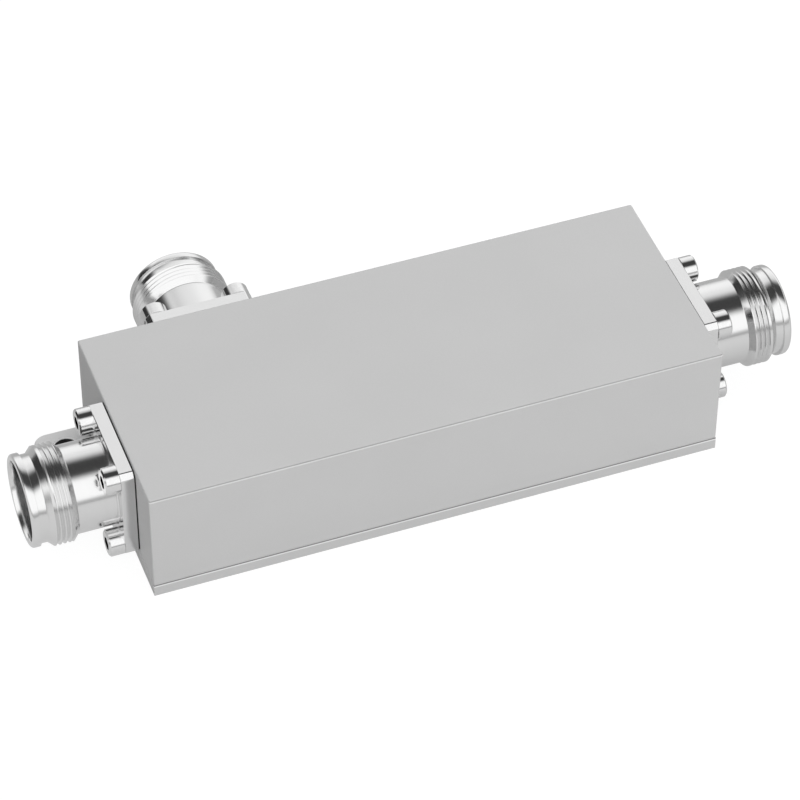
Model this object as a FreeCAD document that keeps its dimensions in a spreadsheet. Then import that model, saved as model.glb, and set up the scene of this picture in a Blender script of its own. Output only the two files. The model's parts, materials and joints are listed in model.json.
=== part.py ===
import FreeCAD, Part
import math
import os
import Sketcher
from FreeCAD import Placement, Rotation, Vector

# A three-port coaxial power splitter in a milled aluminium box.
# Frame: X along the box, Y across it towards the side port, Z up.
# The origin is the middle of the box's underside, where it stands.

doc = FreeCAD.newDocument("PowerSplitter")
sheet = doc.addObject("Spreadsheet::Sheet", "Sizes")

# Every size of the part in millimetres: name, value and what it measures.
sizes = [
    ("boxLength", 118.0, "box along X, without the ears"),
    ("boxWidth", 47.0, "box along Y"),
    ("boxHeight", 26.1, "underside of the cover to the top face"),
    ("coverThick", 3.0, "base cover plate"),
    ("endWall", 7.0, "housing wall behind the end ports"),
    ("sideWall", 6.5, "housing wall behind the side port"),
    ("roofThick", 4.0, "housing above the cavity"),
    ("cavityRadius", 4.0, "milled corners of the cavity"),
    ("arris", 0.35, "rounding of the housing's outer edges"),
    ("seamChamfer", 0.2, "broken edges on both sides of the cover seam"),
    ("portAcross", -3.9, "Y of the two end ports' axis"),
    ("portRise", 14.4, "Z of all three port axes"),
    ("sidePortInset", 25.8, "side port's axis in from the box's left end"),
    ("flangeThick", 2.7, "flange alone, without its gasket"),
    ("flangeMargin", 2.5, "flange edge outside the line of its screws"),
    ("flangeCorner", 1.1, "corner chamfer of flange"),
    ("gasketThick", 0.3, "sheet gasket under each flange"),
    ("gasketInset", 0.1, "gasket edge inside the flange edge"),
    ("barrelDia", 17.75, "plain barrel between flange and thread"),
    ("barrelRoot", 0.3, "fillet where the barrel leaves the flange"),
    ("barrelEnd", 11.1, "barrel's end, out from the housing face"),
    ("threadDia", 20.0, "crest of the M20 x 1 coupling thread"),
    ("threadStart", 12.2, "full thread begins, out from the face"),
    ("threadEnd", 15.9, "full thread ends, out from the face"),
    ("grooveStart", 17.1, "latch groove begins, out from the face"),
    ("grooveDia", 17.7, "floor of the latch groove"),
    ("lipStart", 18.5, "lip begins, out from the face"),
    ("lipDia", 18.7, "lip in front of the groove"),
    ("lipRound", 0.6, "rounded outer edge of the lip"),
    ("jackReach", 20.4, "lip's front, out from the housing face"),
    ("leadInDia", 16.2, "mouth of the conical lead-in"),
    ("leadInDepth", 1.3, "depth of the lead-in"),
    ("boreDia", 15.8, "bore that takes the plug"),
    ("boreFloor", 9.6, "floor of that bore, out from the face"),
    ("sleeveDia", 12.4, "outside of the inner sleeve"),
    ("sleeveBore", 10.0, "inside of the outer conductor"),
    ("sleeveEnd", 14.6, "front of the inner sleeve, out from the face"),
    ("pilotDia", 13.0, "pilot that centres the jack in the housing"),
    ("pilotReach", 4.0, "pilot's depth in the wall"),
    ("pilotGap", 0.1, "clearance round the pilot"),
    ("throatDia", 7.0, "air line through the pilot"),
    ("beadStart", 2.0, "rear face of the insulator"),
    ("beadEnd", 7.0, "front face of the insulator"),
    ("contactDia", 4.3, "slotted front of the centre contact"),
    ("contactTip", 13.6, "front of the contact, out from the face"),
    ("pinDia", 3.0, "contact through the insulator and behind it"),
    ("pinReach", 14.0, "contact pin's end, in from the face"),
    ("pinGap", 0.05, "clearance round the pin in the lines"),
    ("socketDia", 2.0, "bore in the contact's front"),
    ("socketDepth", 5.5, "depth of that bore"),
    ("slotWidth", 0.4, "slots that split the contact's front"),
    ("slotDepth", 4.6, "length of those slots"),
    ("headGap", 0.4, "between the barrel and a screw's head"),
    ("screwDia", 3.0, "flange screw shank"),
    ("screwGap", 0.2, "clearance round the shank in the flange"),
    ("tapGap", 0.05, "clearance round a shank in its tapped hole"),
    ("headDia", 5.5, "socket head"),
    ("headHigh", 3.0, "height of the socket head"),
    ("headEdge", 0.3, "chamfer on the head"),
    ("keyAcross", 2.5, "hexagon in the head, across flats"),
    ("keyDeep", 1.6, "depth of that hexagon"),
    ("screwGrip", 4.4, "flange screw's depth in the wall"),
    ("tapSpare", 0.3, "tapped hole past the screw's end"),
    ("coverScrewInset", 3.0, "cover screws in from the box's edges"),
    ("coverScrewBeside", 3.7, "middle cover screws beside the side port's flange"),
    ("coverScrewDia", 2.5, "cover screw shank"),
    ("coverHeadDia", 4.7, "countersunk head"),
    ("coverHeadSink", 0.1, "head below the cover's underside"),
    ("coverScrewReach", 8.5, "tip of the cover screws above the underside"),
    ("coverKeyAcross", 1.5, "hexagon in the countersunk head"),
    ("coverKeyDeep", 0.8, "depth of that hexagon"),
    ("earReach", 11.2, "mounting ear beyond the box's end"),
    ("earWidth", 9.8, "ear along Y"),
    ("earInset", 0.4, "ear's rear edge in front of the box's rear face"),
    ("earRadius", 3.0, "ear's outer corners"),
    ("earRoot", 1.5, "fillet where the ear leaves the box"),
    ("earHoleDia", 5.1, "mounting hole"),
    ("earHoleRim", 0.2, "broken edge at the top of that hole"),
    ("earHoleOut", 5.2, "hole's centre beyond the box's end"),
    ("earHoleBack", 5.3, "hole's centre in front of the box's rear face"),
    ("landHigh", 1.6, "raised land of the cover inside the cavity"),
    ("landGap", 0.15, "clearance round the land"),
    ("rebateWide", 1.2, "rebate for the cord seal round the cavity"),
    ("rebateDeep", 1.0, "depth of that rebate"),
    ("sealGap", 0.05, "clearance round the cord seal"),
    ("rodGap", 1.0, "main line's ends to the end walls"),
    ("rodEndDia", 6.0, "main line at its ends"),
    ("rodBossDia", 9.0, "main line where the branch joins"),
    ("rodThinDia", 4.5, "main line's slender length"),
    ("bossHalf", 9.2, "half length of that thick part"),
    ("thinInset", 37.0, "slender length's end in from the box's right end"),
    ("branchDia", 5.0, "branch line"),
    ("flatSink", 0.5, "seat for the branch below the boss's top"),
    ("flatHalf", 3.0, "half length of that seat"),
    ("studDia", 2.5, "stud that joins branch and main line"),
    ("studDeep", 3.0, "stud's depth in the main line"),
    ("endBoreSpare", 0.5, "line bores past the ends of the pins"),
    ("supportInset", 8.0, "saddles in from the ends of the slender length"),
    ("supportThick", 5.0, "saddle along X"),
    ("supportWide", 12.0, "saddle along Y"),
    ("supportGap", 0.1, "clearance of the saddle at the rod and roof"),
]

for row, (alias, number, note) in enumerate(sizes, start=1):
    sheet.set(f"A{row}", alias)
    sheet.set(f"B{row}", str(number))
    sheet.set(f"C{row}", note)
    sheet.setAlias(f"B{row}", alias)
doc.recompute()


# The size's number, where geometry has to be looked up by its place.
def size(alias):
    return float(sheet.get(alias))


# An expression with the sheet's name before each of its sizes.
def bound(expression):
    known = {alias for alias, number, note in sizes}
    words, word = [], ""
    for letter in str(expression) + " ":
        if letter.isalnum():
            word += letter
        else:
            words.append(f"Sizes.{word}" if word in known else word)
            words.append(letter)
            word = ""
    return "".join(words).strip()


def newBody(label):
    body = doc.addObject("PartDesign::Body", label)
    body.Label = label
    return body


# A sketch on one of the body's own planes, lifted along its normal.
def newSketch(body, name, role="XY_Plane", lift="0"):
    sketch = body.newObject("Sketcher::SketchObject", f"{body.Label}_{name}")
    plane = next(f for f in body.Origin.OriginFeatures if f.Role == role)
    sketch.AttachmentSupport = [(plane, "")]
    sketch.MapMode = "FlatFace"
    sketch.setExpression(".AttachmentOffset.Base.z", bound(lift))
    return sketch


def pinPoint(sketch, geometry, point, place, tag):
    for axis, expression in zip("XY", place):
        rule = Sketcher.Constraint(f"Distance{axis}", -1, 1, geometry, point, 1.0)
        sketch.renameConstraint(sketch.addConstraint(rule), f"{tag}{axis}")
        sketch.setExpression(f"Constraints.{tag}{axis}", bound(expression))


# A closed outline of straight lines through corners given as expressions.
def addOutline(sketch, corners):
    first = sketch.GeometryCount
    count = len(corners)
    turn = [2 * math.pi * i / count for i in range(count)]
    start = [Vector(math.cos(a), math.sin(a), 0) for a in turn]
    for i in range(count):
        sketch.addGeometry(Part.LineSegment(start[i], start[(i + 1) % count]), False)
    for i in range(count):
        following = first + (i + 1) % count
        sketch.addConstraint(Sketcher.Constraint("Coincident", first + i, 2, following, 1))
    for i, corner in enumerate(corners):
        pinPoint(sketch, first + i, 1, corner, f"corner{first + i}")


def addRectangle(sketch, lowX, highX, lowY, highY):
    addOutline(sketch, [(lowX, lowY), (highX, lowY), (highX, highY), (lowX, highY)])


def addCircle(sketch, centre, diameter):
    circle = Part.Circle(Vector(0, 0, 0), Vector(0, 0, 1), 1.0)
    index = sketch.addGeometry(circle, False)
    pinPoint(sketch, index, 3, centre, f"centre{index}")
    rule = Sketcher.Constraint("Diameter", index, 2.0)
    sketch.renameConstraint(sketch.addConstraint(rule), f"round{index}")
    sketch.setExpression(f"Constraints.round{index}", bound(diameter))


def addHexagon(sketch, centre, across):
    corners = []
    for turn in range(0, 360, 60):
        along = f"{centre[0]} + {across} / sqrt(3) * cos({turn} deg)"
        upward = f"{centre[1]} + {across} / sqrt(3) * sin({turn} deg)"
        corners.append((along, upward))
    addOutline(sketch, corners)


def pad(body, sketch, length, reverse=False, taper=0.0):
    feature = body.newObject("PartDesign::Pad", f"{sketch.Name}_pad")
    feature.Profile = sketch
    feature.setExpression("Length", bound(length))
    feature.Reversed = reverse
    feature.TaperAngle = taper
    doc.recompute()
    return feature


# Cuts the sketch into the body, and makes sure that it took something away.
def pocket(body, sketch, depth=None, reverse=False, bothWays=False, taper=0.0):
    before = body.Shape.Volume
    feature = body.newObject("PartDesign::Pocket", f"{sketch.Name}_cut")
    feature.Profile = sketch
    if depth is None:
        feature.Type = "ThroughAll"
    else:
        feature.setExpression("Length", bound(depth))
    feature.Reversed = reverse
    feature.Midplane = bothWays
    feature.TaperAngle = taper
    doc.recompute()
    if feature.Shape.Volume > before - 1e-6:
        raise RuntimeError(f"{feature.Name} cuts nothing")
    return feature


def revolve(body, sketch, axis="V_Axis"):
    feature = body.newObject("PartDesign::Revolution", f"{sketch.Name}_turned")
    feature.Profile = sketch
    feature.ReferenceAxis = (sketch, [axis])
    feature.Angle = 360.0
    doc.recompute()
    return feature


# Rounds or chamfers the edges of the body that pass the test.
def dress(body, kind, name, amount, wanted):
    base = body.Tip
    edges = [f"Edge{i}" for i, edge in enumerate(base.Shape.Edges, start=1) if wanted(edge)]
    if not edges:
        raise RuntimeError(f"{body.Label} has no edge for its {name}")
    feature = body.newObject(f"PartDesign::{kind}", f"{body.Label}_{name}")
    feature.Base = (base, edges)
    feature.setExpression("Radius" if kind == "Fillet" else "Size", bound(amount))
    doc.recompute()
    return feature


def near(a, b):
    return abs(a - b) < 1e-4


def spans(edge, axis):
    box = edge.BoundBox
    return {"X": box.XLength, "Y": box.YLength, "Z": box.ZLength}[axis] > 1e-4


def isUpright(edge):
    return spans(edge, "Z") and not spans(edge, "X") and not spans(edge, "Y")


# Places and sizes that follow from others: the side port's axis, and the
# flange screws, set so that their heads just clear the barrel.
sidePortX = "(sidePortInset - boxLength / 2)"
screwPitch = "((barrelDia / 2 + headGap + headDia / 2) * sqrt(2))"
flangeSide = f"({screwPitch} + 2 * flangeMargin)"

# The ports: each has its own frame, Z straight out of the housing's face.
ports = {
    "left": (("-boxLength / 2", "portAcross", "portRise"), Rotation(Vector(0, 1, 0), -90)),
    "right": (("boxLength / 2", "portAcross", "portRise"), Rotation(Vector(0, 1, 0), 90)),
    "side": ((sidePortX, "boxWidth / 2", "portRise"), Rotation(Vector(1, 0, 0), -90)),
}


def placeAt(body, place, turn=Rotation()):
    body.Placement = Placement(Vector(0, 0, 0), turn)
    for axis, expression in zip("xyz", place):
        body.setExpression(f".Placement.Base.{axis}", bound(expression))


# The four screws of a flange, as signs along its own X and Y.
flangeCorners = [(1, 1), (-1, 1), (-1, -1), (1, -1)]


def flangeScrewPlaces():
    return [(f"{sx} * {screwPitch} / 2", f"{sy} * {screwPitch} / 2") for sx, sy in flangeCorners]


# The eight cover screws: the box's corners and two along each side, placed
# evenly about the middle and clear of the side port's own screws.
def coverScrewPlaces():
    rows = ["-(boxWidth / 2 - coverScrewInset)", "boxWidth / 2 - coverScrewInset"]
    middle = f"({sidePortX} + {flangeSide} / 2 + coverScrewBeside)"
    columns = [
        "-(boxLength / 2 - coverScrewInset)",
        middle,
        f"-{middle}",
        "boxLength / 2 - coverScrewInset",
    ]
    return [(x, y) for y in rows for x in columns]


# Half the cavity's size along X and Y, used by all that fits into it.
cavityX = "(boxLength / 2 - endWall)"
cavityY = "(boxWidth / 2 - sideWall)"
roofZ = "(boxHeight - roofThick)"
landZ = "(coverThick + landHigh)"


# Outline of a flange or its gasket, a square with chamfered corners.
def addFlangeOutline(sketch, inset="0"):
    far = f"({flangeSide} / 2 - {inset})"
    close = f"({flangeSide} / 2 - flangeCorner - {inset})"
    corners = []
    for sx, sy in flangeCorners:
        pair = [(f"{sx} * {far}", f"{sy} * {close}"), (f"{sx} * {close}", f"{sy} * {far}")]
        corners += pair if sx * sy > 0 else pair[::-1]
    addOutline(sketch, corners)


# The milled housing, open below, with its bores for ports and screws.
def makeHousing():
    body = newBody("housing")
    block = newSketch(body, "block", lift="coverThick")
    addRectangle(block, "-boxLength / 2", "boxLength / 2", "-boxWidth / 2", "boxWidth / 2")
    pad(body, block, "boxHeight - coverThick")
    dress(body, "Fillet", "edges", "arris", lambda e: isUpright(e) or near(e.BoundBox.ZMin, size("boxHeight")))
    dress(body, "Chamfer", "seam", "seamChamfer", lambda e: near(e.BoundBox.ZMax, size("coverThick")))

    cavity = newSketch(body, "cavity", lift="coverThick")
    addRectangle(cavity, f"-{cavityX}", cavityX, f"-{cavityY}", cavityY)
    pocket(body, cavity, "boxHeight - coverThick - roofThick", reverse=True)
    insideX = size("boxLength") / 2 - size("endWall")
    dress(body, "Fillet", "cavityCorners", "cavityRadius",
          lambda e: isUpright(e) and near(abs(e.BoundBox.XMin), insideX))

    rebate = newSketch(body, "rebate", lift="coverThick")
    addRectangle(rebate, f"-({cavityX} + rebateWide)", f"{cavityX} + rebateWide",
                 f"-({cavityY} + rebateWide)", f"{cavityY} + rebateWide")
    pocket(body, rebate, "rebateDeep", reverse=True)
    stepX = insideX + size("rebateWide")
    dress(body, "Fillet", "rebateCorners", "cavityRadius + rebateWide",
          lambda e: isUpright(e) and near(abs(e.BoundBox.XMin), stepX))

    endBores = newSketch(body, "endBores", "YZ_Plane")
    addCircle(endBores, ("portAcross", "portRise"), "pilotDia + 2 * pilotGap")
    pocket(body, endBores, bothWays=True)
    sideBore = newSketch(body, "sideBore", "XZ_Plane", "-boxWidth / 2")
    addCircle(sideBore, (sidePortX, "portRise"), "pilotDia + 2 * pilotGap")
    pocket(body, sideBore, "sideWall", reverse=True)

    tapped = "screwDia + 2 * tapGap"
    for name, end, reverse in (("leftTaps", "-boxLength / 2", True), ("rightTaps", "boxLength / 2", False)):
        taps = newSketch(body, name, "YZ_Plane", end)
        for across, up in flangeScrewPlaces():
            addCircle(taps, (f"portAcross + {across}", f"portRise + {up}"), tapped)
        pocket(body, taps, "screwGrip + tapSpare", reverse)
    taps = newSketch(body, "sideTaps", "XZ_Plane", "-boxWidth / 2")
    for along, up in flangeScrewPlaces():
        addCircle(taps, (f"{sidePortX} + {along}", f"portRise + {up}"), tapped)
    pocket(body, taps, "screwGrip + tapSpare", reverse=True)

    taps = newSketch(body, "coverTaps", lift="coverThick")
    for place in coverScrewPlaces():
        addCircle(taps, place, "coverScrewDia + 2 * tapGap")
    pocket(body, taps, "coverScrewReach - coverThick + tapSpare", reverse=True)
    return body


# The base cover with its two mounting ears and the land inside the cavity.
def makeBaseCover():
    body = newBody("base_cover")
    plate = newSketch(body, "plate")
    addRectangle(plate, "-boxLength / 2", "boxLength / 2", "-boxWidth / 2", "boxWidth / 2")
    pad(body, plate, "coverThick")
    rear = "boxWidth / 2 - earInset"
    for name, sign in (("leftEar", -1), ("rightEar", 1)):
        ear = newSketch(body, name)
        root, tip = f"{sign} * (boxLength / 2 - coverThick)", f"{sign} * (boxLength / 2 + earReach)"
        low, high = (tip, root) if sign < 0 else (root, tip)
        addRectangle(ear, low, high, f"{rear} - earWidth", rear)
        pad(body, ear, "coverThick")
    tipX = size("boxLength") / 2 + size("earReach")
    dress(body, "Fillet", "earCorners", "earRadius",
          lambda e: isUpright(e) and near(abs(e.BoundBox.XMin), tipX))
    rootY = size("boxWidth") / 2 - size("earInset") - size("earWidth")
    dress(body, "Fillet", "earRoots", "earRoot",
          lambda e: isUpright(e) and near(e.BoundBox.YMin, rootY)
          and near(abs(e.BoundBox.XMin), size("boxLength") / 2))
    dress(body, "Chamfer", "seam", "seamChamfer",
          lambda e: near(e.BoundBox.ZMin, size("coverThick")))

    land = newSketch(body, "land", lift="coverThick")
    addRectangle(land, f"-({cavityX} - landGap)", f"{cavityX} - landGap",
                 f"-({cavityY} - landGap)", f"{cavityY} - landGap")
    pad(body, land, "landHigh")
    landX = size("boxLength") / 2 - size("endWall") - size("landGap")
    dress(body, "Fillet", "landCorners", "cavityRadius - landGap",
          lambda e: isUpright(e) and near(abs(e.BoundBox.XMin), landX))

    earHoles = newSketch(body, "earHoles")
    for sign in (-1, 1):
        centre = (f"{sign} * (boxLength / 2 + earHoleOut)", "boxWidth / 2 - earHoleBack")
        addCircle(earHoles, centre, "earHoleDia")
    pocket(body, earHoles, "coverThick", reverse=True)
    dress(body, "Chamfer", "earHoleRims", "earHoleRim",
          lambda e: near(e.BoundBox.ZMin, size("coverThick")) and near(e.BoundBox.XLength, size("earHoleDia")))
    screwHoles = newSketch(body, "screwHoles")
    for place in coverScrewPlaces():
        addCircle(screwHoles, place, "coverScrewDia + 2 * screwGap")
    pocket(body, screwHoles, "coverThick", reverse=True)
    sinks = newSketch(body, "sinks")
    for place in coverScrewPlaces():
        addCircle(sinks, place, "coverHeadDia + 2 * coverHeadSink")
    pocket(body, sinks, "(coverHeadDia - coverScrewDia) / 2 + coverHeadSink", reverse=True, taper=-45.0)
    return body


# The cord seal in the rebate round the cavity's mouth.
def makeCoverSeal():
    body = newBody("cover_seal")
    ring = newSketch(body, "ring", lift="coverThick")
    for reach in ("(rebateWide - sealGap)", "sealGap"):
        addRectangle(ring, f"-({cavityX} + {reach})", f"{cavityX} + {reach}",
                     f"-({cavityY} + {reach})", f"{cavityY} + {reach}")
    pad(body, ring, "rebateDeep - sealGap")
    halfX = size("boxLength") / 2 - size("endWall")
    for name, reach in (("outer", "(rebateWide - sealGap)"), ("inner", "sealGap")):
        gap = size("rebateWide") - size("sealGap") if name == "outer" else size("sealGap")
        dress(body, "Fillet", f"{name}Corners", f"cavityRadius + {reach}",
              lambda e, x=halfX + gap: isUpright(e) and near(abs(e.BoundBox.XMin), x))
    return body


# Countersunk screws that hold the cover, one group of eight.
def makeCoverScrews():
    body = newBody("cover_screws")
    heads = newSketch(body, "heads", lift="coverHeadSink")
    for place in coverScrewPlaces():
        addCircle(heads, place, "coverHeadDia")
    pad(body, heads, "(coverHeadDia - coverScrewDia) / 2", taper=-45.0)
    shanks = newSketch(body, "shanks", lift="coverHeadSink")
    for place in coverScrewPlaces():
        addCircle(shanks, place, "coverScrewDia")
    pad(body, shanks, "coverScrewReach - coverHeadSink")
    keys = newSketch(body, "keys", lift="coverHeadSink")
    for place in coverScrewPlaces():
        addHexagon(keys, place, "coverKeyAcross")
    pocket(body, keys, "coverKeyDeep", reverse=True)
    return body


# A jack's body: flange, barrel, thread land, latch groove, lip and bore.
def makeJack(port):
    body = newBody(f"{port}_jack")
    profile = newSketch(body, "profile", "XZ_Plane")
    addOutline(profile, [
        ("throatDia / 2", "-pilotReach"),
        ("pilotDia / 2", "-pilotReach"),
        ("pilotDia / 2", "gasketThick"),
        ("barrelDia / 2", "gasketThick"),
        ("barrelDia / 2", "barrelEnd"),
        ("threadDia / 2", "threadStart"),
        ("threadDia / 2", "threadEnd"),
        ("grooveDia / 2", "grooveStart"),
        ("grooveDia / 2", "lipStart"),
        ("lipDia / 2", "lipStart"),
        ("lipDia / 2", "jackReach"),
        ("leadInDia / 2", "jackReach"),
        ("boreDia / 2", "jackReach - leadInDepth"),
        ("boreDia / 2", "boreFloor"),
        ("sleeveDia / 2", "boreFloor"),
        ("sleeveDia / 2", "sleeveEnd"),
        ("sleeveBore / 2", "sleeveEnd"),
        ("sleeveBore / 2", "beadStart"),
        ("throatDia / 2", "beadStart"),
    ])
    revolve(body, profile)
    flange = newSketch(body, "flange", lift="gasketThick")
    addFlangeOutline(flange)
    addCircle(flange, ("0", "0"), "pilotDia")
    for place in flangeScrewPlaces():
        addCircle(flange, place, "screwDia + 2 * screwGap")
    pad(body, flange, "flangeThick")
    flangeTop = size("gasketThick") + size("flangeThick")
    dress(body, "Fillet", "barrelRoot", "barrelRoot",
          lambda e: near(e.BoundBox.ZMax, flangeTop) and near(e.BoundBox.XLength, size("barrelDia")))
    dress(body, "Fillet", "lipEdge", "lipRound",
          lambda e: near(e.BoundBox.ZMin, size("jackReach")) and near(e.BoundBox.XLength, size("lipDia")))
    placeAt(body, *ports[port])
    return body


# The insulator that carries the centre contact.
def makeInsulator(port):
    body = newBody(f"{port}_insulator")
    disc = newSketch(body, "disc", lift="beadStart")
    addCircle(disc, ("0", "0"), "sleeveBore")
    addCircle(disc, ("0", "0"), "pinDia")
    pad(body, disc, "beadEnd - beadStart")
    placeAt(body, *ports[port])
    return body


# The centre contact: a slotted socket in front, a pin behind.
def makeContact(port):
    body = newBody(f"{port}_contact")
    profile = newSketch(body, "profile", "XZ_Plane")
    addOutline(profile, [
        ("0", "-pinReach"),
        ("pinDia / 2", "-pinReach"),
        ("pinDia / 2", "beadEnd"),
        ("contactDia / 2", "beadEnd"),
        ("contactDia / 2", "contactTip"),
        ("socketDia / 2", "contactTip"),
        ("socketDia / 2", "contactTip - socketDepth"),
        ("0", "contactTip - socketDepth"),
    ])
    revolve(body, profile)
    for name, wide, deep in (("slotX", "contactDia", "slotWidth / 2"), ("slotY", "slotWidth / 2", "contactDia")):
        slot = newSketch(body, name, lift="contactTip")
        addRectangle(slot, f"-{wide}", wide, f"-{deep}", deep)
        pocket(body, slot, "slotDepth")
    placeAt(body, *ports[port])
    return body


# The thin sheet gasket between a flange and the housing.
def makeFlangeGasket(port):
    body = newBody(f"{port}_flange_gasket")
    face = newSketch(body, "face")
    addFlangeOutline(face, "gasketInset")
    addCircle(face, ("0", "0"), "pilotDia + 2 * pilotGap")
    for place in flangeScrewPlaces():
        addCircle(face, place, "screwDia + 2 * screwGap")
    pad(body, face, "gasketThick")
    placeAt(body, *ports[port])
    return body


# The four cap screws of a flange, as one group.
def makeFlangeScrews(port):
    body = newBody(f"{port}_flange_screws")
    seat = "gasketThick + flangeThick"
    heads = newSketch(body, "heads", lift=seat)
    for place in flangeScrewPlaces():
        addCircle(heads, place, "headDia")
    pad(body, heads, "headHigh")
    top = size("gasketThick") + size("flangeThick") + size("headHigh")
    dress(body, "Chamfer", "headEdge", "headEdge", lambda e: near(e.BoundBox.ZMin, top))
    shanks = newSketch(body, "shanks", lift="-screwGrip")
    for place in flangeScrewPlaces():
        addCircle(shanks, place, "screwDia")
    pad(body, shanks, f"screwGrip + {seat}")
    keys = newSketch(body, "keys", lift=f"{seat} + headHigh")
    for place in flangeScrewPlaces():
        addHexagon(keys, place, "keyAcross")
    pocket(body, keys, "keyDeep")
    placeAt(body, *ports[port])
    return body


# The main line's slender length, where the saddles hold it.
thinLeft = f"({sidePortX} + bossHalf)"
thinRight = "(boxLength / 2 - thinInset)"


# The main line: a turned rod in steps, bored at both ends for the pins.
def makeMainLine():
    body = newBody("main_line")
    profile = newSketch(body, "profile", "XZ_Plane")
    end = f"({cavityX} - rodGap)"
    bore = "(boxLength / 2 - pinReach - endBoreSpare)"
    boreRadius = "pinDia / 2 + pinGap"
    bossLeft = f"({sidePortX} - bossHalf)"
    addOutline(profile, [
        (f"-{bore}", "0"),
        (f"-{bore}", boreRadius),
        (f"-{end}", boreRadius),
        (f"-{end}", "rodEndDia / 2"),
        (bossLeft, "rodEndDia / 2"),
        (bossLeft, "rodBossDia / 2"),
        (thinLeft, "rodBossDia / 2"),
        (thinLeft, "rodThinDia / 2"),
        (thinRight, "rodThinDia / 2"),
        (thinRight, "rodEndDia / 2"),
        (end, "rodEndDia / 2"),
        (end, boreRadius),
        (bore, boreRadius),
        (bore, "0"),
    ])
    revolve(body, profile, "H_Axis")
    seat = newSketch(body, "seat")
    addRectangle(seat, f"{sidePortX} - flatHalf", f"{sidePortX} + flatHalf",
                 "rodBossDia / 2 - flatSink", "rodBossDia")
    pocket(body, seat, bothWays=True)
    stud = newSketch(body, "stud", "XZ_Plane", "-rodBossDia / 2")
    addCircle(stud, (sidePortX, "0"), "studDia + 2 * tapGap")
    pocket(body, stud, "flatSink + studDeep + tapSpare", reverse=True)
    placeAt(body, ("0", "portAcross", "portRise"))
    return body


# The branch line: a rod on the main line's seat, out to the side port.
def makeBranchLine():
    body = newBody("branch_line")
    profile = newSketch(body, "profile", "XZ_Plane")
    seat = "(portAcross + rodBossDia / 2 - flatSink - boxWidth / 2)"
    end = "-(sideWall + rodGap)"
    boreEnd = "-(pinReach + endBoreSpare)"
    addOutline(profile, [
        ("0", f"{seat} - studDeep"),
        ("studDia / 2", f"{seat} - studDeep"),
        ("studDia / 2", seat),
        ("branchDia / 2", seat),
        ("branchDia / 2", end),
        ("pinDia / 2 + pinGap", end),
        ("pinDia / 2 + pinGap", boreEnd),
        ("0", boreEnd),
    ])
    revolve(body, profile)
    placeAt(body, *ports["side"])
    return body


# A saddle of insulating plastic that holds the main line off the cover.
def makeSaddle(label, along):
    body = newBody(label)
    block = newSketch(body, "block", "YZ_Plane")
    radius = "(rodThinDia / 2 + supportGap)"
    addOutline(block, [
        ("-supportWide / 2", f"{landZ} - portRise"),
        ("supportWide / 2", f"{landZ} - portRise"),
        ("supportWide / 2", f"{roofZ} - supportGap - portRise"),
        (radius, f"{roofZ} - supportGap - portRise"),
        (radius, "0"),
        (f"-{radius}", "0"),
        (f"-{radius}", f"{roofZ} - supportGap - portRise"),
        ("-supportWide / 2", f"{roofZ} - supportGap - portRise"),
    ])
    feature = pad(body, block, "supportThick")
    feature.Midplane = True
    cradle = newSketch(body, "cradle", "YZ_Plane")
    addCircle(cradle, ("0", "0"), f"2 * {radius}")
    pocket(body, cradle, bothWays=True)
    placeAt(body, (along, "portAcross", "portRise"))
    return body


parts = [makeHousing(), makeBaseCover(), makeCoverSeal(), makeCoverScrews()]
for port in ports:
    parts += [
        makeJack(port),
        makeInsulator(port),
        makeContact(port),
        makeFlangeGasket(port),
        makeFlangeScrews(port),
    ]
parts += [
    makeMainLine(),
    makeBranchLine(),
    makeSaddle("left_saddle", f"{thinLeft} + supportInset"),
    makeSaddle("right_saddle", f"{thinRight} - supportInset"),
]
doc.recompute()

for item in doc.Objects:
    if "Invalid" in item.State or "Error" in item.State:
        raise RuntimeError(f"{item.Name} failed: {item.State}")
for part in parts:
    if part.Shape.isNull() or not part.Shape.isValid():
        raise RuntimeError(f"{part.Label} has no valid shape")

os.makedirs("parts", exist_ok=True)
for part in parts:
    part.Shape.exportStep(f"parts/{part.Label}.step")
    print(part.Label, len(part.Shape.Solids), "solid", round(part.Shape.Volume, 1), "mm3")
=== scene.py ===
import json
import math
import bmesh
import bpy
from mathutils import Matrix, Vector


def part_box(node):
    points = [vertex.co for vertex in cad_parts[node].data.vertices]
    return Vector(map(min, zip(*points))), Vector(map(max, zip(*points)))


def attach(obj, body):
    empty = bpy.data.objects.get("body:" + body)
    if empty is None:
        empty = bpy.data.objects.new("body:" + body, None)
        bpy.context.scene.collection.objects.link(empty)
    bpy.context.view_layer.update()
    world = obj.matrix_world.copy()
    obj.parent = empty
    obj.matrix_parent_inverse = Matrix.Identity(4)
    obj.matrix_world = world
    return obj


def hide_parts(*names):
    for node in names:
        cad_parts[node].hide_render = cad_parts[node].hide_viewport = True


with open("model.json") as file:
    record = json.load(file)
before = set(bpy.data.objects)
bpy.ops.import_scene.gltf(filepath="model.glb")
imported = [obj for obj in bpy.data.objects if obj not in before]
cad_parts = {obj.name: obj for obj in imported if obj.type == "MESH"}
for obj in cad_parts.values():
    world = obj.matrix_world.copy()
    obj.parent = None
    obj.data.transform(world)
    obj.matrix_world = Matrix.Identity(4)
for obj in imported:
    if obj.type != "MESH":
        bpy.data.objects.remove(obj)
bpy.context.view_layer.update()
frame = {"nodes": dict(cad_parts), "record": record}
mm = 0.001


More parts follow.
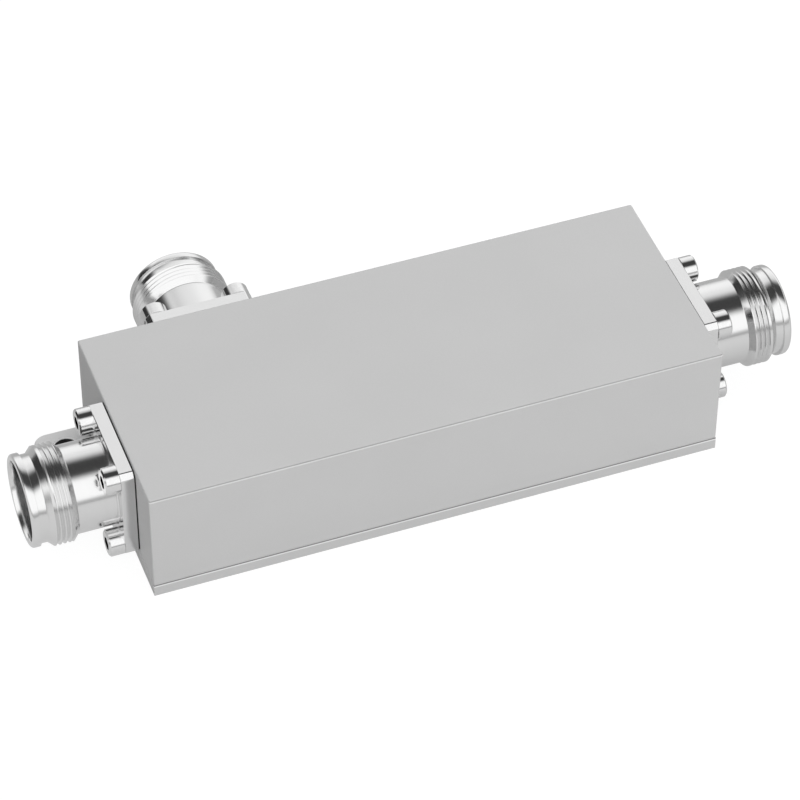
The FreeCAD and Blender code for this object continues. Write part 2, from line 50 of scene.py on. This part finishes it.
# A shader socket that can stand in sums. Wire(tree) alone only adds nodes.
class Wire:
    def __init__(self, tree, socket=None):
        self.tree = tree
        self.socket = socket

    # any node: its settings first, then a value or a link for each named socket
    def node(self, kind, settings={}, sockets={}, out=0):
        made = self.tree.nodes.new(kind)
        for name, value in settings.items():
            setattr(made, name, value)
        for name, value in sockets.items():
            if isinstance(value, Wire):
                self.tree.links.new(value.socket, made.inputs[name])
            else:
                made.inputs[name].default_value = value
        return Wire(self.tree, made.outputs[out] if made.outputs else None)

    def math(self, operation, first, second=0.0):
        return self.node("ShaderNodeMath", {"operation": operation}, {0: first, 1: second})

    # 0 below low and 1 above high, with a soft step between
    def step(self, low, high):
        settings = {"interpolation_type": "SMOOTHSTEP"}
        return self.node("ShaderNodeMapRange", settings, {"Value": self, "From Min": low, "From Max": high})

    # first where this wire is 0, second where it is 1
    def blend(self, first, second):
        return self.node("ShaderNodeMix", {"data_type": "FLOAT"}, {0: self, 2: first, 3: second})

    def tint(self, first, second):
        settings = {"data_type": "RGBA"}
        return self.node("ShaderNodeMix", settings, {0: self, 6: (*first, 1), 7: (*second, 1)}, out=2)

    def __add__(self, other):
        return self.math("ADD", self, other)

    def __mul__(self, other):
        return self.math("MULTIPLY", self, other)

    def __sub__(self, other):
        return self.math("SUBTRACT", self, other)

    def __rsub__(self, other):
        return self.math("SUBTRACT", other, self)

    def __neg__(self):
        return self.math("MULTIPLY", self, -1.0)

    def __pow__(self, other):
        return self.math("POWER", self, other)

    __radd__ = __add__
    __rmul__ = __mul__


def newMaterial(name):
    material = bpy.data.materials.new(name)
    material.use_nodes = True
    material.node_tree.nodes.clear()
    return material, Wire(material.node_tree)


def closeMaterial(wire, shader):
    wire.node("ShaderNodeOutputMaterial", sockets={"Surface": shader})


def objectPlace(wire):
    return wire.node("ShaderNodeTexCoord", out="Object")


# the x, y and z of a place or a direction, as three wires
def apart(wire, vector):
    split = wire.node("ShaderNodeSeparateXYZ", {}, {0: vector})
    return [Wire(wire.tree, socket) for socket in split.socket.node.outputs]


def noise(wire, place, scale, detail=3.0, roughness=0.6):
    sockets = {"Vector": place, "Scale": scale, "Detail": detail, "Roughness": roughness}
    return wire.node("ShaderNodeTexNoise", {}, sockets)


def bumps(wire, height, strength, depth):
    return wire.node("ShaderNodeBump", {}, {"Strength": strength, "Distance": depth, "Height": height})


grainContrast = (0.3, 0.7)  # the part of a noise's range that is stretched from dull to pale

# The housing and its cover: a matte light grey coat over fine blasted metal.
coatLook = {
    "pale": 0.55, "dull": 0.53, "roughness": 0.5, "roughnessSpread": 0.08, "specular": 0.3,
    "cloudScale": 45.0, "cloudDetail": 3.0, "cloudRoughness": 0.5,
    "grainScale": 2600.0, "grainStrength": 0.6, "grainDepth": 0.000012,
}

# What its colour is multiplied by in places, all of it painted light and shade, with
# distances in millimetres: the ears past the box's ends painted paler, a painted
# highlight round the rims of their holes and painted shade, near black, on the hole
# walls below, and fine painted dark and pale lines along both long sides, at heights
# measured up from the box's top or from its seam: painted shade and painted
# highlights on the top edge's rounding and at the seam's groove.
coatPaintedLight = {
    "ear": {"shade": 1.32, "pastEnd": (0.2, 1.2)},
    "holeRim": {"shade": 1.35, "width": (0.20, 0.24)},
    "holeWall": {"shade": 0.03, "below": (0.3, 0.2)},
    "side": {"depth": (0.36, 0.30), "pastEnd": 0.05, "soft": 0.02},
    "lines": [
        {"from": "top", "start": -0.17, "end": -0.04, "shade": 0.62},
        {"from": "top", "start": -0.50, "end": -0.22, "shade": 1.29},
        {"from": "seam", "start": -0.38, "end": -0.15, "shade": 0.38},
        {"from": "seam", "start": -0.72, "end": -0.43, "shade": 1.47},
    ],
}


# The coat's painted light and shade, as a factor on its colour.
def paintCoatLight(wire, place):
    ear, rim, wall, side = [coatPaintedLight[part] for part in ("ear", "holeRim", "holeWall", "side")]
    low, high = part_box("housing")
    x, y, z = apart(wire, place)
    across, along = y.math("ABSOLUTE", y), x.math("ABSOLUTE", x)

    # Painted light: the ears past the box's ends are painted paler than the box.
    paintedLight = along.step(*[high.x + past * mm for past in ear["pastEnd"]]).blend(1.0, ear["shade"])
    onSide = across.step(*[high.y - depth * mm for depth in side["depth"]])
    onSide = onSide * (1 - along.step(high.x, high.x + side["pastEnd"] * mm))
    soft = side["soft"] * mm
    # Painted shade and painted highlights: a dark and a pale line along the top edge's rounding and along the
    # seam's groove.
    for line in coatPaintedLight["lines"]:
        level = {"top": high.z, "seam": low.z}[line["from"]]
        start, end = level + line["start"] * mm, level + line["end"] * mm
        within = z.step(start - soft, start + soft) * (1 - z.step(end - soft, end + soft))
        paintedLight = paintedLight * (onSide * within).blend(1.0, line["shade"])

    ears = next(m for m in frame["record"]["mounts"] if m["name"] == "ears")
    away = along - (ears["dims"]["spacing_x_mm"] / 2 * mm)
    aside = y - ears["pos_m"][1]
    radius = (away * away + aside * aside) ** 0.5
    atHole = 1 - radius.step(*[(ears["dims"]["hole_r_mm"] + width) * mm for width in rim["width"]])
    # Painted highlight: a pale ring round each ear hole's rim.
    paintedLight = paintedLight * atHole.blend(1.0, rim["shade"])
    # Painted shade: the hole's wall below the ear's top is painted near black.
    underTop = 1 - z.step(*[low.z - below * mm for below in wall["below"]])
    return (atHole * underTop).blend(paintedLight, wall["shade"])


def makeCoat():
    look = coatLook
    material, wire = newMaterial("housingCoat")
    place = objectPlace(wire)
    clouds = noise(wire, place, look["cloudScale"], look["cloudDetail"], look["cloudRoughness"])
    grain = noise(wire, place, look["grainScale"])
    shade = (clouds * 0.5 + grain * 0.5).step(*grainContrast).blend(look["dull"], look["pale"])
    # The coat's grain times its painted light and shade.
    shade = shade * paintCoatLight(wire, place)
    colour = shade.tint((0, 0, 0), (1, 1, 1))
    bump = bumps(wire, grain, look["grainStrength"], look["grainDepth"])
    shader = wire.node("ShaderNodeBsdfPrincipled", {}, {
        "Base Color": colour,
        "Roughness": grain * look["roughnessSpread"] + look["roughness"],
        "Metallic": 0.0,
        "Specular IOR Level": look["specular"],
        "Normal": bump,
    })
    closeMaterial(wire, shader)
    return material


# Turned and plated metal: fine rings round the axis that the piece was turned on.
platingLook = {
    "bright": 0.80, "dim": 0.77,
    "roughness": 0.125, "roughnessSpread": 0.07,
    "ringScale": 9000.0, "ringDetail": 3.0, "ringRoughness": 0.65,
    "ringStrength": 0.5, "ringDepth": 0.0000012,
    "wideScale": 1125.0, "wideDetail": 1.0, "wideRoughness": 0.5,
}


def makePlating(name, axis, centre):
    look = platingLook
    material, wire = newMaterial(name)
    parts = apart(wire, objectPlace(wire))
    across = [parts[i] - centre[i] for i in range(3) if i != axis]
    radius = (across[0] * across[0] + across[1] * across[1]) ** 0.5
    spot = wire.node("ShaderNodeCombineXYZ", {}, {"X": parts[axis], "Y": radius})
    rings = noise(wire, spot, look["ringScale"], look["ringDetail"], look["ringRoughness"])
    wide = noise(wire, spot, look["wideScale"], look["wideDetail"], look["wideRoughness"])
    bump = bumps(wire, rings, look["ringStrength"], look["ringDepth"])
    shader = wire.node("ShaderNodeBsdfPrincipled", {}, {
        "Base Color": wide.tint([look["dim"]] * 3, [look["bright"]] * 3),
        "Roughness": rings * look["roughnessSpread"] + look["roughness"],
        "Metallic": 1.0,
        "Normal": bump,
    })
    closeMaterial(wire, shader)
    return material


# Bright metal with no turning axis of its own: screws, contacts and the inner lines.
metalGrain = {"scale": 1800.0, "strength": 0.4, "depth": 0.000001, "roughnessSpread": 0.05}
metals = {
    "screwSteel": {"pale": (0.80, 0.80, 0.80), "dull": (0.76, 0.76, 0.76), "roughness": 0.09},
    "contactSilver": {"pale": (0.86, 0.86, 0.85), "dull": (0.80, 0.80, 0.79), "roughness": 0.16},
    "lineBrass": {"pale": (0.78, 0.64, 0.36), "dull": (0.70, 0.56, 0.30), "roughness": 0.22},
}

# The painted shade in the flange screws' hexagon sockets, in millimetres: how far out
# from the housing the heads' faces are, how wide the painted dark middle is, and how
# far below the face it starts. The insides are painted dark grey in place of their shade.
socketPaintedShade = {"shade": 0.16, "face": 6.0, "radius": (1.48, 1.50), "below": (0.08, 0.03)}


# 1 inside the sockets of a port's four screws, where shade is painted, and 0 on the rest of the heads
def paintedSocketMask(wire, axis, centre):
    parts = apart(wire, objectPlace(wire))
    away = [parts[i] - centre[i] for i in range(3)]
    away = [offset.math("ABSOLUTE", offset) for offset in away]
    half = jackSizes["screwPitch"] / 2 * mm
    across = [away[i] - half for i in range(3) if i != axis]
    radius = (across[0] * across[0] + across[1] * across[1]) ** 0.5
    inside = 1 - radius.step(*[edge * mm for edge in socketPaintedShade["radius"]])
    under = 1 - away[axis].step(*[(socketPaintedShade["face"] - below) * mm for below in socketPaintedShade["below"]])
    return inside * under


# port is the axis and the centre of the jack whose four screws the metal is for
def makeMetal(name, look, port=None):
    material, wire = newMaterial(name)
    grain = noise(wire, objectPlace(wire), metalGrain["scale"])
    bump = bumps(wire, grain, metalGrain["strength"], metalGrain["depth"])
    colour = grain.step(*grainContrast).tint(look["dull"], look["pale"])
    # Painted shade: the sockets' insides are dark grey.
    if port:
        sockets = {0: paintedSocketMask(wire, *port), 6: colour, 7: (*[socketPaintedShade["shade"]] * 3, 1)}
        colour = wire.node("ShaderNodeMix", {"data_type": "RGBA"}, sockets, out=2)
    shader = wire.node("ShaderNodeBsdfPrincipled", {}, {
        "Base Color": colour,
        "Roughness": grain * metalGrain["roughnessSpread"] + look["roughness"],
        "Metallic": 1.0,
        "Normal": bump,
    })
    closeMaterial(wire, shader)
    return material


# Rubber and plastic: a faint grain in colour, gloss and surface.
mouldedGrain = {"scale": 2200.0, "detail": 4.0, "strength": 0.5, "depth": 0.000006, "roughnessSpread": 0.1}
moulded = {
    "gasketSheet": {"pale": (0.012, 0.012, 0.012), "dull": (0.008, 0.008, 0.008), "roughness": 0.6},
    "sealRubber": {"pale": (0.03, 0.03, 0.03), "dull": (0.02, 0.02, 0.02), "roughness": 0.65},
    "insulatorWhite": {"pale": (0.80, 0.80, 0.78), "dull": (0.74, 0.74, 0.72), "roughness": 0.4},
}


def makeMoulded(name):
    look = moulded[name]
    material, wire = newMaterial(name)
    grain = noise(wire, objectPlace(wire), mouldedGrain["scale"], mouldedGrain["detail"])
    shader = wire.node("ShaderNodeBsdfPrincipled", {}, {
        "Base Color": grain.step(*grainContrast).tint(look["dull"], look["pale"]),
        "Roughness": grain * mouldedGrain["roughnessSpread"] + look["roughness"],
        "Normal": bumps(wire, grain, mouldedGrain["strength"], mouldedGrain["depth"]),
    })
    closeMaterial(wire, shader)
    return material


# The jack, in millimetres: distances are out from the housing's face. The last two
# lines are for the mesh: points round a ring, a hole, an arc, a corner and a pitch,
# the sharp angle in degrees, and how near two places count as one.
jackSizes = {
    "flangeSide": 22.006, "flangeBack": 0.3, "flangeFront": 3.0,
    "flangeCorner": 1.1, "cornerRound": 0.5, "flangeEdge": 0.12,
    "screwPitch": 17.006, "screwHole": 3.4,
    "barrelDia": 17.75, "barrelRoot": 0.3, "barrelEnd": 11.1,
    "threadDia": 20.0, "threadStart": 12.2, "threadEnd": 15.9,
    "pitch": 1.0, "threadDeep": 0.46, "crestHalf": 0.06, "rootHalf": 0.02,
    "threadFadeIn": 0.3, "threadFadeOut": 0.4, "threadTurn": 0.23,
    "grooveStart": 17.1, "grooveDia": 17.7,
    "lipStart": 18.75, "lipDia": 18.7, "lipRound": 0.6, "reach": 20.4,
    "leadInDia": 16.2, "leadInEnd": 19.1, "boreDia": 15.8, "boreFloor": 9.6,
    "sleeveDia": 12.4, "sleeveBore": 10.0, "sleeveEnd": 14.6,
    "beadStart": 2.0, "throatDia": 7.0, "pilotDia": 13.0, "pilotReach": 4.0,
    "barrelRound": 0.15, "grooveRound": 0.2, "lipEdge": 0.05, "mouthRound": 0.25,
    "boreRound": 0.1, "sleeveRound": 0.25, "pilotRound": 0.1,
    "around": 180, "holeSides": 32, "arcSteps": 4, "cornerSteps": 5, "pitchCorners": 4,
    "sharpAngle": 28, "same": 0.001, "weld": 0.0001,
}


# Rounds the corners of a line of (place, radius, rounding) with tangent arcs, which
# take less than half of each side so that two arcs never meet.
def roundedLine(corners, steps):
    most = 0.48
    line = []
    for i, (z, r, rounding) in enumerate(corners):
        here = Vector((z, r))
        if rounding <= 0 or i in (0, len(corners) - 1):
            line.append(here)
            continue
        back = Vector(corners[i - 1][:2]) - here
        ahead = Vector(corners[i + 1][:2]) - here
        half = back.angle(ahead) / 2
        reach = min(rounding / math.tan(half), most * back.length, most * ahead.length)
        radius = reach * math.tan(half)
        inward = (back.normalized() + ahead.normalized()).normalized()
        centre = here + inward * (radius / math.sin(half))
        start = here + back.normalized() * reach - centre
        turn = start.angle_signed(here + ahead.normalized() * reach - centre)
        for k in range(steps + 1):
            spin = Matrix.Rotation(-turn * k / steps, 2)
            line.append(centre + spin @ start)
    return line


# A square with cut corners whose own corners are rounded, drawn counterclockwise.
def flangeOutline(half, cut, rounding):
    corners = []
    for sx, sy in ((1, 1), (-1, 1), (-1, -1), (1, -1)):
        pair = [(sx * half, sy * (half - cut), rounding), (sx * (half - cut), sy * half, rounding)]
        corners += pair if sx * sy > 0 else pair[::-1]
    closed = [corners[-1]] + corners + [corners[0]]
    return roundedLine(closed, jackSizes["cornerSteps"])[1:-1]


# Each port's place and axis come from the record's thread mounts and the housing's faces.
def portFrame(name):
    mount = next(m for m in frame["record"]["mounts"] if m["name"] == f"{name}_thread")
    axis = Vector(mount["axis"])
    low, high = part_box("housing")
    place = Vector(mount["pos_m"])
    for i in range(3):
        if abs(axis[i]) > 0.5:
            place[i] = high[i] if axis[i] > 0 else low[i]
    up = Vector((0, 0, 1))
    turn = Matrix((up, axis.cross(up), axis)).transposed().to_4x4()
    return place, axis, Matrix.Translation(place) @ turn


# The turned body's line from the flange's front, round the mouth, to the pilot.
def jackLine(s):
    corners = [
        (s["flangeFront"], s["barrelDia"] / 2 + 2 * s["barrelRoot"], 0),
        (s["flangeFront"], s["barrelDia"] / 2, s["barrelRoot"]),
        (s["barrelEnd"], s["barrelDia"] / 2, s["barrelRound"]),
        (s["threadStart"], s["threadDia"] / 2, 0),
        (s["threadEnd"], s["threadDia"] / 2, 0),
        (s["grooveStart"], s["grooveDia"] / 2, s["grooveRound"]),
        (s["lipStart"], s["grooveDia"] / 2, s["lipEdge"]),
        (s["lipStart"], s["lipDia"] / 2, s["lipEdge"]),
        (s["reach"], s["lipDia"] / 2, s["lipRound"]),
        (s["reach"], s["leadInDia"] / 2, s["mouthRound"]),
        (s["leadInEnd"], s["boreDia"] / 2, 0),
        (s["boreFloor"], s["boreDia"] / 2, s["boreRound"]),
        (s["boreFloor"], s["sleeveDia"] / 2, s["boreRound"]),
        (s["sleeveEnd"], s["sleeveDia"] / 2, s["sleeveRound"]),
        (s["sleeveEnd"], s["sleeveBore"] / 2, s["sleeveRound"]),
        (s["beadStart"], s["sleeveBore"] / 2, 0),
        (s["beadStart"], s["throatDia"] / 2, 0),
        (-s["pilotReach"], s["throatDia"] / 2, 0),
        (-s["pilotReach"], s["pilotDia"] / 2, s["pilotRound"]),
        (s["flangeBack"], s["pilotDia"] / 2, 0),
    ]
    return roundedLine(corners, s["arcSteps"])


# One column of the thread's corners along the land, for a share of a turn. They climb
# a pitch per turn, stay within the land, and the grooves fade out at both ends of it.
def threadColumn(s, share):
    start, end, deep = s["threadStart"], s["threadEnd"], s["threadDeep"]
    corners = [(-s["crestHalf"], 0), (s["crestHalf"], 0), (0.5 - s["rootHalf"], 1), (0.5 + s["rootHalf"], 1)]
    column = []
    for turn in range(math.floor(start / s["pitch"]) - 2, math.ceil(end / s["pitch"]) + 2):
        for along, cut in corners:
            height = min(end, max(start, s["pitch"] * (turn + along + s["threadTurn"] + share)))
            fade = min(1.0, (height - start) / s["threadFadeIn"], (end - height) / s["threadFadeOut"])
            column.append((s["threadDia"] / 2 - deep * cut * fade, height))
    return column


# a point of the jack's mesh, in cylinder places: the k-th of those round a ring
def ringPoint(mesh, k, radius, height):
    turn = 2 * math.pi * k / jackSizes["around"]
    return mesh.verts.new((radius * math.cos(turn) * mm, radius * math.sin(turn) * mm, height * mm))


def flatLoop(mesh, points, height):
    return [mesh.verts.new((p.x * mm, p.y * mm, height * mm)) for p in points]


def joinLoops(mesh, first, second):
    for k in range(len(first)):
        mesh.faces.new((first[k - 1], first[k], second[k], second[k - 1]))


def edgesOf(mesh, points):
    made = []
    for k in range(len(points)):
        pair = (points[k - 1], points[k])
        made.append(mesh.edges.get(pair) or mesh.edges.new(pair))
    return made


# The turned body: rings joined one to the next, except along the thread's land.
def addBody(mesh, s):
    line = jackLine(s)
    rings = [[ringPoint(mesh, k, row.y, row.x) for k in range(s["around"])] for row in line]
    for lower, upper, row in zip(rings, rings[1:], line):
        if abs(row.x - s["threadStart"]) > s["same"]:
            joinLoops(mesh, lower, upper)
    return rings[0], rings[-1]


# The thread's columns; past the last one the first follows, a pitch further on.
def addThread(mesh, s):
    around = s["around"]
    columns = [[ringPoint(mesh, k, *corner) for corner in threadColumn(s, k / around)] for k in range(around)]
    rows = len(columns[0])
    for k in range(around):
        shift = s["pitchCorners"] if k == around - 1 else 0
        beside = columns[(k + 1) % around]
        for j in range(rows - 1):
            low, high = min(j + shift, rows - 1), min(j + shift + 1, rows - 1)
            corners = [columns[k][j], beside[low], beside[high], columns[k][j + 1]]
            mesh.faces.new(corners if low < high else corners[:2] + corners[3:])


# The flange plate joins the body's first ring in front with its last ring behind.
def addFlange(mesh, s, frontRing, backRing):
    half, cut, edge = s["flangeSide"] / 2, s["flangeCorner"], s["flangeEdge"]
    inner = flangeOutline(half - edge, cut - edge * (2 - math.sqrt(2)), s["cornerRound"] - edge)
    outer = flangeOutline(half, cut, s["cornerRound"])
    frontEdge = flatLoop(mesh, inner, s["flangeFront"])
    frontSide = flatLoop(mesh, outer, s["flangeFront"] - edge)
    backEdge = flatLoop(mesh, outer, s["flangeBack"])
    joinLoops(mesh, frontEdge, frontSide)
    joinLoops(mesh, frontSide, backEdge)
    hole = [Vector((math.cos(turn), math.sin(turn))) * (s["screwHole"] / 2)
            for turn in [2 * math.pi * k / s["holeSides"] for k in range(s["holeSides"])]]
    frontEdges = edgesOf(mesh, frontEdge) + edgesOf(mesh, frontRing)
    backEdges = edgesOf(mesh, backEdge) + edgesOf(mesh, backRing)
    for sx, sy in ((1, 1), (-1, 1), (-1, -1), (1, -1)):
        spot = [Vector((sx, sy)) * (s["screwPitch"] / 2) + p for p in hole]
        front, back = flatLoop(mesh, spot, s["flangeFront"]), flatLoop(mesh, spot, s["flangeBack"])
        joinLoops(mesh, front, back)
        frontEdges += edgesOf(mesh, front)
        backEdges += edgesOf(mesh, back)
    for edges in (frontEdges, backEdges):
        bmesh.ops.triangle_fill(mesh, use_beauty=True, use_dissolve=False, edges=edges)


# Smooth all over but for the thread land's two ends and every sharp corner.
def shadeJack(mesh, s):
    bmesh.ops.recalc_face_normals(mesh, faces=mesh.faces)
    for face in mesh.faces:
        face.smooth = True
    landEnds = (s["threadStart"], s["threadEnd"])
    for edge in mesh.edges:
        heights = [corner.co.z / mm for corner in edge.verts]
        atEnd = any(max(abs(height - end) for height in heights) < s["same"] for end in landEnds)
        edge.smooth = not atEnd and edge.calc_face_angle(0.0) < math.radians(s["sharpAngle"])


def makeJack(name, material):
    s = jackSizes
    mesh = bmesh.new()
    frontRing, backRing = addBody(mesh, s)
    addThread(mesh, s)
    bmesh.ops.remove_doubles(mesh, verts=mesh.verts, dist=s["weld"] * mm)
    addFlange(mesh, s, frontRing, backRing)
    shadeJack(mesh, s)
    mesh.transform(portFrame(name)[2])
    data = bpy.data.meshes.new(f"{name}Jack")
    mesh.to_mesh(data)
    mesh.free()
    piece = bpy.data.objects.new(f"{name}Jack", data)
    bpy.context.scene.collection.objects.link(piece)
    data.materials.append(material)
    weights = piece.modifiers.new("flatFaces", "WEIGHTED_NORMAL")
    weights.keep_sharp = True
    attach(piece, "root")
    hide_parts(f"{name}_jack")
    return piece


def dressNode(name, material):
    node = frame["nodes"][name]
    node.data.materials.clear()
    node.data.materials.append(material)


coat = makeCoat()
steel, silver, brass = [makeMetal(name, look) for name, look in metals.items()]
gasketSheet, sealRubber, insulator = [makeMoulded(name) for name in moulded]

dressNode("housing", coat)
dressNode("base_cover", coat)
dressNode("cover_seal", sealRubber)
dressNode("cover_screws", steel)
dressNode("main_line", brass)
dressNode("branch_line", brass)
dressNode("left_saddle", insulator)
dressNode("right_saddle", insulator)
for port in ("left", "right", "side"):
    place, axis, turn = portFrame(port)
    alongAxis = max(range(3), key=lambda i: abs(axis[i]))
    makeJack(port, makePlating(f"{port}JackPlating", alongAxis, place))
    dressNode(f"{port}_insulator", insulator)
    dressNode(f"{port}_contact", silver)
    dressNode(f"{port}_flange_gasket", gasketSheet)
    screws = makeMetal(f"{port}ScrewSteel", metals["screwSteel"], (alongAxis, place))
    dressNode(f"{port}_flange_screws", screws)
print("pieces and finishes done")

# The floor: pale, with light of its own to the camera and in the metal, so that
# both see a near white ground with only a faint shadow on it. In the metal that
# glow is dimmer behind and right of the object: a painted shadow. Matte faces get
# less light back from the ground behind the left end.
floorLook = {
    "size": 6.0, "drop": 0.00002, "toCamera": 0.12, "glowToCamera": 0.93,
    "colour": 0.78, "dimColour": 0.3, "dimLeft": (0.05, 0.07), "dimBack": (-0.015, 0.015),
    "toGloss": 0.28, "glowToGloss": 0.49, "glowBehind": 0.22, "behind": (-0.045, 0.06), "slant": 0.25,
}


def makeFloor():
    look = floorLook
    mesh = bmesh.new()
    bmesh.ops.create_grid(mesh, x_segments=1, y_segments=1, size=look["size"] / 2)
    data = bpy.data.meshes.new("floor")
    mesh.to_mesh(data)
    mesh.free()
    floor = bpy.data.objects.new("floor", data)
    floor.location.z = -look["drop"]
    bpy.context.scene.collection.objects.link(floor)
    material, wire = newMaterial("floorPaper")
    camera = wire.node("ShaderNodeLightPath", out="Is Camera Ray")
    gloss = wire.node("ShaderNodeLightPath", out="Is Glossy Ray")
    x, y, z = apart(wire, objectPlace(wire))
    dim = (-x).step(*look["dimLeft"]) * y.step(*look["dimBack"])
    matte = dim.blend(look["colour"], look["dimColour"])
    level = camera.blend(gloss.blend(matte, look["toGloss"]), look["toCamera"])
    paper = wire.node("ShaderNodeBsdfDiffuse", {}, {"Color": level.tint((0, 0, 0), (1, 1, 1))})
    # Painted shadow: in the metal the ground's glow is dimmer behind and right of the object.
    behind = (y + x * look["slant"]).step(*look["behind"])
    inGloss = behind.blend(look["glowToGloss"], look["glowBehind"])
    glow = wire.node("ShaderNodeEmission", {}, {
        "Color": (1, 1, 1, 1),
        "Strength": camera * look["glowToCamera"] + gloss * inGloss,
    })
    closeMaterial(wire, wire.node("ShaderNodeAddShader", {}, {0: paper, 1: glow}))
    data.materials.append(material)


# A plain studio: a wide soft wall of light in front and one behind, with a darker
# ceiling between them, a dark gap between the walls at the left and behind, a dim
# right end, and dimmer light along the foot of each wall. Each pair is where a soft
# step starts and ends, as a part of a direction of length one.
studioLook = {
    "front": 1.22, "frontLow": 0.44, "back": 1.12, "backHigh": 0.95, "backLow": 0.70,
    "ceiling": 0.055, "gap": 0.04, "end": 0.35,
    "frontFoot": (0.07, 0.27), "backFoot": (-0.05, 0.28), "backTop": (0.45, 0.75), "toBack": (-0.05, 0.05),
    "endRight": (0.66, 0.86), "endBack": (0.2, 0.5), "endTop": (0.3, 0.5),
    "slant": 0.35, "slantShift": 0.05, "ceilingBack": (0.28, 0.68), "ceilingFront": (0.19, 0.54),
    "ceilingFoot": (0.5, 0.7),
    "gapLeft": (0.36, 0.62), "gapBack": (0.0, 0.25), "gapTop": (0.42, 0.75),
}


def makeStudio():
    look = studioLook
    world = bpy.data.worlds.new("studio")
    bpy.context.scene.world = world
    world.use_nodes = True
    world.node_tree.nodes.clear()
    wire = Wire(world.node_tree)
    x, y, z = apart(wire, wire.node("ShaderNodeTexCoord", out="Generated"))
    front = z.step(*look["frontFoot"]).blend(look["frontLow"], look["front"])
    upper = z.step(*look["backTop"]).blend(look["back"], look["backHigh"])
    back = z.step(*look["backFoot"]).blend(look["backLow"], upper)
    wall = y.step(*look["toBack"]).blend(front, back)
    end = x.step(*look["endRight"]) * (1 - y.step(*look["endBack"])) * (1 - z.step(*look["endTop"]))
    wall = end.blend(wall, look["end"])
    slanted = y + x * look["slant"] - look["slantShift"]
    between = (1 - slanted.step(*look["ceilingBack"])) * (1 - (-slanted).step(*look["ceilingFront"]))
    wall = (between * z.step(*look["ceilingFoot"])).blend(wall, look["ceiling"])
    gap = (-x).step(*look["gapLeft"]) * y.step(*look["gapBack"]) * (1 - z.step(*look["gapTop"]))
    wall = gap.blend(wall, look["gap"])
    rays = wire.node("ShaderNodeLightPath", out="Is Camera Ray")
    light = wire.node("ShaderNodeBackground", {}, {"Color": (1, 1, 1, 1), "Strength": rays.blend(wall, 1.0)})
    wire.node("ShaderNodeOutputWorld", {}, {"Surface": light})


# Soft lamps that level the matte faces; they stay out of the metal's reflections.
lamps = {
    "above": {"place": (0.28, 0.10, 0.9), "aim": (0, 0, 0), "size": 0.8, "watts": 3.7},
    "front": {"place": (0.15, -1.0, 0.35), "aim": (0, 0, 0.02), "size": 0.8, "watts": 1.5},
}


def makeLamps():
    for name, lamp in lamps.items():
        data = bpy.data.lights.new(name, "AREA")
        data.size = lamp["size"]
        data.energy = lamp["watts"]
        light = bpy.data.objects.new(name, data)
        light.location = lamp["place"]
        aim = Vector(lamp["aim"]) - Vector(lamp["place"])
        light.rotation_euler = aim.to_track_quat("-Z", "Y").to_euler()
        light.visible_glossy = False
        bpy.context.scene.collection.objects.link(light)


# The photograph's view of the object.
view = {
    "place": (-0.186525, -0.503305, 0.544983),
    "ahead": (0.246602, 0.665015, -0.704942),
    "up": (0.240120, 0.662800, 0.709260),
    "lens": 170.93,
}


def makeCamera():
    data = bpy.data.cameras.new("camera")
    data.sensor_width = 36.0
    data.lens = view["lens"]
    data.clip_start = 0.01
    camera = bpy.data.objects.new("camera", data)
    ahead = Vector(view["ahead"]).normalized()
    right = ahead.cross(Vector(view["up"])).normalized()
    turn = Matrix((right, right.cross(ahead), -ahead)).transposed().to_4x4()
    camera.matrix_world = Matrix.Translation(view["place"]) @ turn
    bpy.context.scene.collection.objects.link(camera)
    bpy.context.scene.camera = camera


makeFloor()
makeStudio()
makeLamps()
makeCamera()
bpy.context.scene.view_settings.view_transform = "Standard"
print("stage, light and camera done")
